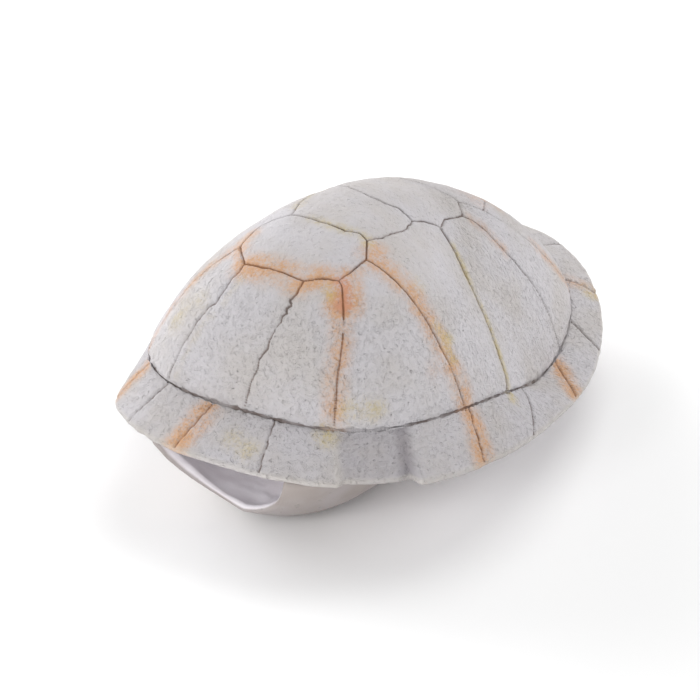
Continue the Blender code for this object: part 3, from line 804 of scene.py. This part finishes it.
def finished_piece(name, builder, node):
    """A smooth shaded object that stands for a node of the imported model."""
    keep_inside(builder, *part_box(node))
    mesh = bpy.data.meshes.new(name)
    builder.to_mesh(mesh)
    builder.free()
    mesh.shade_smooth()
    piece = bpy.data.objects.new(name, mesh)
    bpy.context.scene.collection.objects.link(piece)
    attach(piece, "root")
    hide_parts(node)
    print(name, len(mesh.vertices), "points,", sum(len(p.vertices) - 2 for p in mesh.polygons),
          "triangles")
    return piece


carapace_skin = finished_piece("carapace_skin", shell, "carapace")

# %% [markdown]
# ## The plastron
#
# The lower half is a bowl with a flat foot. Its wall leans out from a small
# oval on the ground to a wide one under the skirt, and it dips twice: at the
# head, where a long low mouth shows the hollow inside, and a little at the
# tail.

# %% Sizes of the plastron
BASE_HALF_WIDTH = 24.0 * MM
BASE_FRONT_Y = -60.5 * MM
BASE_REAR_Y = 62.0 * MM
TOP_HALF_WIDTH = 39.5 * MM
TOP_FRONT_Y = -93.6 * MM
TOP_REAR_Y = 90.0 * MM
# Squareness of the front and of the rear half
TOP_SQUARENESS = (3.9, 2.5)
BASE_SQUARENESS = (2.2, 2.2)
END_FULLNESS = 1.15
SIDE_FULLNESS = 2.1
PLASTRON_WALL = 3.5 * MM
LIP_WALL = 1.6 * MM
FLOOR_HEIGHT = 4.0 * MM
# Angles are in degrees from the head; half angles are the right one and the left one
MOUTH_CENTRE = -4.0
MOUTH_HALF_ANGLES = (12.5, 17.0)
MOUTH_DEPTH = 24.0 * MM
TAIL_CENTRE = 180.0
TAIL_HALF_ANGLES = (12.0, 12.0)
TAIL_DEPTH = 8.0 * MM
SEAT_GAP = 0.3 * MM
# The edge of an opening is rounded by this share of its wall
LIP_CREST = 0.25
BASE_MIDDLE = Vector((0.0, 0.5 * (BASE_FRONT_Y + BASE_REAR_Y), 0.0))
FLOOR_MIDDLE = BASE_MIDDLE + Vector((0.0, 0.0, FLOOR_HEIGHT))
BOWL_COLUMNS = 300
WALL_RINGS = 16
FOOT_RINGS = 6


# %% Columns of the plastron
def oval(angle, half_width, front_y, rear_y, squareness):
    half_length = 0.5 * (rear_y - front_y)
    middle = 0.5 * (rear_y + front_y)
    power = squareness[0] if math.cos(angle) > 0.0 else squareness[1]
    across = abs(math.sin(angle) / half_width) ** power
    along_y = abs(math.cos(angle) / half_length) ** power
    radius = (across + along_y) ** (-1.0 / power)
    return Vector((radius * math.sin(angle), middle - radius * math.cos(angle), 0.0))


def opening_depth(angle):
    """How far the mouth or the tail gap lowers the edge, and how far off its middle this is."""
    for centre, (right_half, left_half), depth in (
            (MOUTH_CENTRE, MOUTH_HALF_ANGLES, MOUTH_DEPTH),
            (TAIL_CENTRE, TAIL_HALF_ANGLES, TAIL_DEPTH)):
        turned = (math.degrees(angle) - centre + 180.0) % 360.0 - 180.0
        away = turned / left_half if turned > 0.0 else -turned / right_half
        if away < 1.0:
            return depth * math.sqrt(1.0 - away * away), away
    return 0.0, 1.0


def plastron_column(angle):
    """From the middle of the foot out, up the wall, over the edge and down inside.

    The zones are 0 outside, 0.5 on the lip and 1 inside.
    """
    lowered, away = opening_depth(angle)
    top = oval(angle, TOP_HALF_WIDTH, TOP_FRONT_Y, TOP_REAR_Y, TOP_SQUARENESS)
    base = oval(angle, BASE_HALF_WIDTH, BASE_FRONT_Y, BASE_REAR_Y, BASE_SQUARENESS)
    full = underside_height(top.x, top.y)
    edge = full - max(lowered, SEAT_GAP)
    side = abs(math.sin(angle))
    fullness = END_FULLNESS + (SIDE_FULLNESS - END_FULLNESS) * side
    wall = LIP_WALL + (PLASTRON_WALL - LIP_WALL) * away * away
    steps = [1.0 - math.cos(0.5 * math.pi * n / WALL_RINGS) for n in range(WALL_RINGS + 1)]

    def under_the_skirt(spot):
        spot.z = min(spot.z, underside_height(spot.x, spot.y) - SEAT_GAP)
        return spot

    outer = []
    for part in steps:
        share = min(1.0, edge * part / full)
        reach = (1.0 - (1.0 - share) ** (2.0 / fullness)) ** (0.5 * fullness)
        outer.append(base.lerp(top, reach) + Vector((0.0, 0.0, edge * part)))
    outwards = (top - base).normalized()
    inner = []
    for n, part in enumerate(steps):
        stretch = outer[min(n + 1, WALL_RINGS)] - outer[max(n - 1, 0)]
        normal = Vector((0.0, 0.0, stretch.dot(outwards))) - outwards * stretch.z
        thickness = FLOOR_HEIGHT + (wall - FLOOR_HEIGHT) * part
        inner.append(under_the_skirt(outer[n] + normal.normalized() * thickness))
    inner.reverse()
    foot = [BASE_MIDDLE.lerp(base, n / FOOT_RINGS) for n in range(1, FOOT_RINGS)]
    crest = (outer[-1] - outer[-2]).normalized() * (LIP_CREST * wall if lowered else 0.0)
    lip = under_the_skirt(outer[-1].lerp(inner[0], 0.5) + crest)
    floor_rings = [FLOOR_MIDDLE.lerp(inner[-1], n / FOOT_RINGS)
                   for n in range(FOOT_RINGS - 1, 0, -1)]
    rings = [(p, 0.0) for p in foot + outer] + [(lip, 0.5)]
    return rings + [(p, 1.0) for p in inner + floor_rings]


bowl = ball_from_columns(
    BOWL_COLUMNS, plastron_column, (BASE_MIDDLE, 0.0), (FLOOR_MIDDLE, 1.0))
print("plastron base:", len(bowl.faces), "faces")

# %% [markdown]
# Outside, the bowl is smooth and worn. Inside, the bone was never polished:
# it has broad soft dents, like a hammered dish.

# %% Relief of the plastron
DENTS = 2.2 * MM
DENT_SIZE = 9.0 * MM
DENT_LEVEL = 0.45
DENT_SHARE = 0.7
FACET_SHARE = 0.1
BOWL_SWELL = 0.12 * MM
BOWL_SWELL_SCALE = 8.0 * MM
DENTED_ZONE = 0.75
# Points this low stand on the ground and stay where they are
STANDING_HEIGHT = 0.05 * MM
bowl_zone = bowl.verts.layers.float["zone"]
bowl.normal_update()
moves = []
for vertex in bowl.verts:
    place = vertex.co.copy()
    inside = vertex[bowl_zone]
    if place.z < STANDING_HEIGHT:
        continue
    push = BOWL_SWELL * wander(place, BOWL_SWELL_SCALE, 2.0) - BOWL_SWELL
    if inside > DENTED_ZONE:
        cells = noise.cell_vector(place / DENT_SIZE)
        dent = noise.voronoi(place / DENT_SIZE, distance_metric="DISTANCE")[0]
        push += DENTS * ((dent[0] - DENT_LEVEL) * DENT_SHARE + FACET_SHARE * cells[0])
    moves.append((vertex, vertex.normal * push))
for vertex, move in moves:
    vertex.co += move
plastron_skin = finished_piece("plastron_skin", bowl, "plastron")


# %% [markdown]
# ## The bone finish
#
# Old bone is matt and chalky. Its colour drifts between a cool lilac white
# and a warmer grey, pits and strokes hold a little shade, soil stains the
# bone beside the cracks orange and ochre, and the cracks are brown inside.
# The same brown is painted shade in the bed of the groove, more painted shade
# darkens the skirt and its channel, the hollow inside is painted lighter as
# painted light, and the ridge gets a painted highlight. The nodes build those
# layers one over the other, and one bump chain carries the relief that is too
# fine for the mesh.

# %% Small helpers for nodes
class Finish:
    """Adds nodes to one material and links them, so that a layer reads as one line."""

    def __init__(self, name):
        self.material = bpy.data.materials.new(name)
        self.material.use_nodes = True
        self.tree = self.material.node_tree
        self.shader = self.tree.nodes["Principled BSDF"]

    def put(self, kind, **settings):
        """A new node with the given settings."""
        node = self.tree.nodes.new(kind)
        for key, value in settings.items():
            setattr(node, key, value)
        return node

    def feed(self, socket, source):
        """Links another node's output to a socket, or sets it to a plain value."""
        if isinstance(source, bpy.types.NodeSocket):
            self.tree.links.new(source, socket)
        else:
            socket.default_value = source

    def place(self):
        return self.put("ShaderNodeTexCoord").outputs["Object"]

    def attribute(self, name, output="Fac"):
        return self.put("ShaderNodeAttribute", attribute_name=name).outputs[output]

    def cloud(self, vector, scale, detail, roughness=0.55):
        """Noise over a vector; at a scale of 1000 it changes every millimetre."""
        node = self.put("ShaderNodeTexNoise")
        self.feed(node.inputs["Vector"], vector)
        self.feed(node.inputs["Scale"], scale)
        self.feed(node.inputs["Detail"], detail)
        self.feed(node.inputs["Roughness"], roughness)
        return node.outputs["Fac"]

    def pick(self, source, low, high, start=0.0, end=1.0):
        """A smooth step from start to end while the source goes from low to high."""
        node = self.put("ShaderNodeMapRange", interpolation_type="SMOOTHSTEP")
        for socket, value in zip(node.inputs, (source, low, high, start, end)):
            self.feed(socket, value)
        return node.outputs["Result"]

    def maths(self, operation, first, second):
        node = self.put("ShaderNodeMath", operation=operation)
        self.feed(node.inputs[0], first)
        self.feed(node.inputs[1], second)
        return node.outputs["Value"]

    def blend(self, amount, under, over, blend_type="MIX"):
        """One colour laid over another."""
        node = self.put("ShaderNodeMix", data_type="RGBA", blend_type=blend_type)
        colours = [s for s in node.inputs if s.type == "RGBA"]
        self.feed(node.inputs["Factor"], amount)
        self.feed(colours[0], under)
        self.feed(colours[1], over)
        return [s for s in node.outputs if s.type == "RGBA"][0]

    def bump(self, height, distance, strength, under=None):
        """Relief, added to the relief under it."""
        node = self.put("ShaderNodeBump")
        self.feed(node.inputs["Height"], height)
        self.feed(node.inputs["Distance"], distance)
        self.feed(node.inputs["Strength"], strength)
        if under is not None:
            self.feed(node.inputs["Normal"], under)
        return node.outputs["Normal"]


# %% Finish of the carapace
COOL_WHITE = (0.545, 0.525, 0.545, 1.0)
WARM_GREY = (0.520, 0.490, 0.480, 1.0)
PIT_SHADE = (0.340, 0.315, 0.310, 1.0)
# Painted shade: the colour that the skirt's painted shade multiplies in
PAINTED_SHADE_TINT = (0.600, 0.585, 0.600, 1.0)
# Painted light: the inside is painted much lighter than the outside bone
INNER_PAINTED_LIGHT_LILAC = (0.880, 0.840, 0.880, 1.0)
WEAR_AND_HIGHLIGHT_CREAM = (0.620, 0.580, 0.520, 1.0)
ORANGE = (0.600, 0.310, 0.130, 1.0)
RUST = (0.580, 0.215, 0.080, 1.0)
OCHRE = (0.530, 0.420, 0.160, 1.0)
CRACK_AND_GROOVE_SHADE_BROWN = (0.150, 0.105, 0.085, 1.0)
CRACK_AND_GROOVE_SHADE_RUST = (0.260, 0.120, 0.055, 1.0)

bone = Finish("weathered bone")
place = bone.place()
grain = bone.attribute("grain", "Vector")
crack_and_groove_shade = bone.attribute("crack_and_groove_shade")
orange = bone.attribute("orange")
yellow = bone.attribute("yellow")
chisel = bone.attribute("chisel")

drift = bone.pick(bone.cloud(place, 45.0, 4.0), 0.36, 0.66)
colour = bone.blend(drift, COOL_WHITE, WARM_GREY)
strokes = bone.cloud(grain, 1.4, 3.0, 0.6)
pits = bone.cloud(place, 850.0, 2.0, 0.6)
stroke_marks = bone.maths("MULTIPLY", bone.pick(strokes, 0.57, 0.70), chisel)
pit_marks = bone.pick(pits, 0.60, 0.74)
marks = bone.maths("MAXIMUM", stroke_marks, pit_marks)
colour = bone.blend(bone.maths("MULTIPLY", marks, 0.12), colour, PIT_SHADE)
# Painted shade darkens the skirt, most of all in the channel
colour = bone.blend(bone.attribute("painted_shade"), colour, PAINTED_SHADE_TINT, "MULTIPLY")
# Painted light: the hollow inside is painted a much lighter lilac than the outside
colour = bone.blend(bone.pick(bone.attribute("zone"), 1.3, 1.9), colour, INNER_PAINTED_LIGHT_LILAC)

# %% Stains over the bone, broken up by noise
speckle = bone.pick(bone.cloud(place, 1300.0, 3.0, 0.65), 0.32, 0.66, 0.55, 1.0)
patchy = bone.pick(bone.cloud(place, 170.0, 5.0, 0.65), 0.34, 0.60, 0.50, 1.0)
broken = bone.maths("MULTIPLY", speckle, patchy)
orange_amount = bone.pick(bone.maths("MULTIPLY", orange, broken), 0.02, 0.85, 0.0, 0.80)
redness = bone.pick(orange, 0.85, 1.4)
orange_colour = bone.blend(redness, ORANGE, RUST)
colour = bone.blend(orange_amount, colour, orange_colour)
yellow_amount = bone.pick(bone.maths("MULTIPLY", yellow, broken), 0.05, 0.80, 0.0, 0.72)
colour = bone.blend(yellow_amount, colour, OCHRE)
# Worn cream on the rim edge, and a painted highlight on the ridge
colour = bone.blend(bone.maths("MULTIPLY", bone.attribute("wear_and_highlight"), 0.35), colour, WEAR_AND_HIGHLIGHT_CREAM)
# Crack brown, also used as the painted shade in the groove's bed
crack_and_groove_shade_colour = bone.blend(bone.pick(orange, 0.2, 0.8), CRACK_AND_GROOVE_SHADE_BROWN, CRACK_AND_GROOVE_SHADE_RUST)
crack_and_groove_shade_amount = bone.pick(crack_and_groove_shade, 0.05, 0.95, 0.0, 0.78)
colour = bone.blend(crack_and_groove_shade_amount, colour, crack_and_groove_shade_colour)
bone.feed(bone.shader.inputs["Base Color"], colour)

# %% Fine relief and dullness of the carapace
stroke_cuts = bone.maths("MULTIPLY", bone.pick(strokes, 0.45, 0.72), chisel)
relief = bone.bump(bone.cloud(place, 380.0, 5.0, 0.68), 0.7 * MM, 0.85)
relief = bone.bump(bone.maths("SUBTRACT", 1.0, stroke_cuts), 0.35 * MM, 0.85, relief)
relief = bone.bump(bone.pick(pits, 0.50, 0.80, 1.0, 0.0), 0.28 * MM, 0.85, relief)
bone.feed(bone.shader.inputs["Normal"], relief)
bone.feed(bone.shader.inputs["Roughness"], bone.pick(drift, 0.0, 1.0, 0.78, 0.92))
bone.shader.inputs["Specular IOR Level"].default_value = 0.3
carapace_skin.data.materials.append(bone.material)

# %% Finish of the plastron
CREAM = (0.370, 0.325, 0.305, 1.0)
PALE_CREAM = (0.415, 0.375, 0.370, 1.0)
# Painted light: the inside of the bowl is painted much lighter than the outside
INNER_PAINTED_LIGHT_GREY = (0.840, 0.790, 0.820, 1.0)
INNER_PAINTED_LIGHT_PALE = (0.920, 0.890, 0.920, 1.0)

horn = Finish("worn plastron bone")
place = horn.place()
inside = horn.pick(horn.attribute("zone"), 0.3, 0.7)
drift = horn.pick(horn.cloud(place, 50.0, 4.0), 0.38, 0.64)
outer_colour = horn.blend(drift, CREAM, PALE_CREAM)
inner_painted_light_colour = horn.blend(drift, INNER_PAINTED_LIGHT_GREY, INNER_PAINTED_LIGHT_PALE)
colour = horn.blend(inside, outer_colour, inner_painted_light_colour)
specks = horn.pick(horn.cloud(place, 320.0, 1.0, 0.4), 0.70, 0.76)
outer_specks = horn.maths("MULTIPLY", specks, horn.maths("SUBTRACT", 1.0, inside))
colour = horn.blend(horn.maths("MULTIPLY", outer_specks, 0.5), colour, PIT_SHADE)
horn.feed(horn.shader.inputs["Base Color"], colour)
relief = horn.bump(horn.cloud(place, 220.0, 4.0, 0.55), 0.35 * MM, 0.5)
relief = horn.bump(horn.maths("SUBTRACT", 1.0, outer_specks), 0.3 * MM, 0.7, relief)
horn.feed(horn.shader.inputs["Normal"], relief)
horn.feed(horn.shader.inputs["Roughness"], horn.pick(inside, 0.0, 1.0, 0.68, 0.40))
horn.shader.inputs["Specular IOR Level"].default_value = 0.35
plastron_skin.data.materials.append(horn.material)

# %% [markdown]
# ## Floor, light and camera
#
# The shell stands on a plain pale floor under soft light from both sides, from
# above and from the front, as in a small photo tent. A thin shell lets light
# through into its hollow: a low lamp in front of the mouth and a faint one
# inside stand in for that. The camera looks down on the shell from in front
# and to its left.

# %% Floor
FLOOR_SIZE = 8.0
PAPER_WHITE = (0.93, 0.93, 0.93, 1.0)
ground = bmesh.new()
bmesh.ops.create_grid(ground, x_segments=1, y_segments=1, size=0.5 * FLOOR_SIZE)
floor_mesh = bpy.data.meshes.new("floor")
ground.to_mesh(floor_mesh)
ground.free()
floor = bpy.data.objects.new("floor", floor_mesh)
bpy.context.scene.collection.objects.link(floor)
paper = Finish("pale paper")
paper.shader.inputs["Base Color"].default_value = PAPER_WHITE
paper.shader.inputs["Roughness"].default_value = 0.9
floor_mesh.materials.append(paper.material)

# %% Soft light
ROOM_WHITE = (1.0, 1.0, 1.0, 1.0)
ROOM_LIGHT = 0.36
SHELL_MIDDLE = (0.0, 0.0, 0.03)
# name, place, the point it faces, its width in metres and its power in watts
SOFT_BOXES = (
    ("left softbox", (-0.92, 0.20, 0.34), SHELL_MIDDLE, 0.7, 9.8),
    ("right rear softbox", (0.74, 0.60, 0.34), SHELL_MIDDLE, 0.7, 5.0),
    ("front softbox", (0.237, -0.757, 0.426), (0.0, -0.05, 0.02), 0.5, 1.5),
    ("mouth fill", (-0.03, -0.42, 0.18), (0.0, -0.08, 0.015), 0.12, 0.5),
    ("inside glow", (0.0, -0.035, 0.040), (-0.005, -0.085, 0.012), 0.03, 0.0034),
    ("top softbox", (0.0, 0.50, 0.87), (0.0, 0.0, 0.05), 0.8, 4.2),
)
world = bpy.data.worlds.new("soft studio")
world.use_nodes = True
background = world.node_tree.nodes["Background"]
background.inputs["Color"].default_value = ROOM_WHITE
background.inputs["Strength"].default_value = ROOM_LIGHT
bpy.context.scene.world = world
bpy.context.scene.view_settings.view_transform = "Standard"


def soft_box(name, place, aim, size, power):
    """A square lamp at a place, facing a point."""
    lamp = bpy.data.lights.new(name, "AREA")
    lamp.size = size
    lamp.energy = power
    item = bpy.data.objects.new(name, lamp)
    item.location = place
    item.rotation_euler = (Vector(aim) - Vector(place)).to_track_quat("-Z", "Y").to_euler()
    bpy.context.scene.collection.objects.link(item)


for box in SOFT_BOXES:
    soft_box(*box)

# %% Camera
CAMERA_PLACE = Vector((0.3024, -0.54355, 0.3597))
CAMERA_AIM = Vector((-0.0042, -0.00895, 0.0277))
FOCAL_LENGTH = 113.7
SENSOR_WIDTH = 36.0
lens = bpy.data.cameras.new("camera")
lens.lens = FOCAL_LENGTH
lens.sensor_width = SENSOR_WIDTH
camera = bpy.data.objects.new("camera", lens)
camera.location = CAMERA_PLACE
camera.rotation_euler = (CAMERA_AIM - CAMERA_PLACE).to_track_quat("-Z", "Y").to_euler()
bpy.context.scene.collection.objects.link(camera)
bpy.context.scene.camera = camera
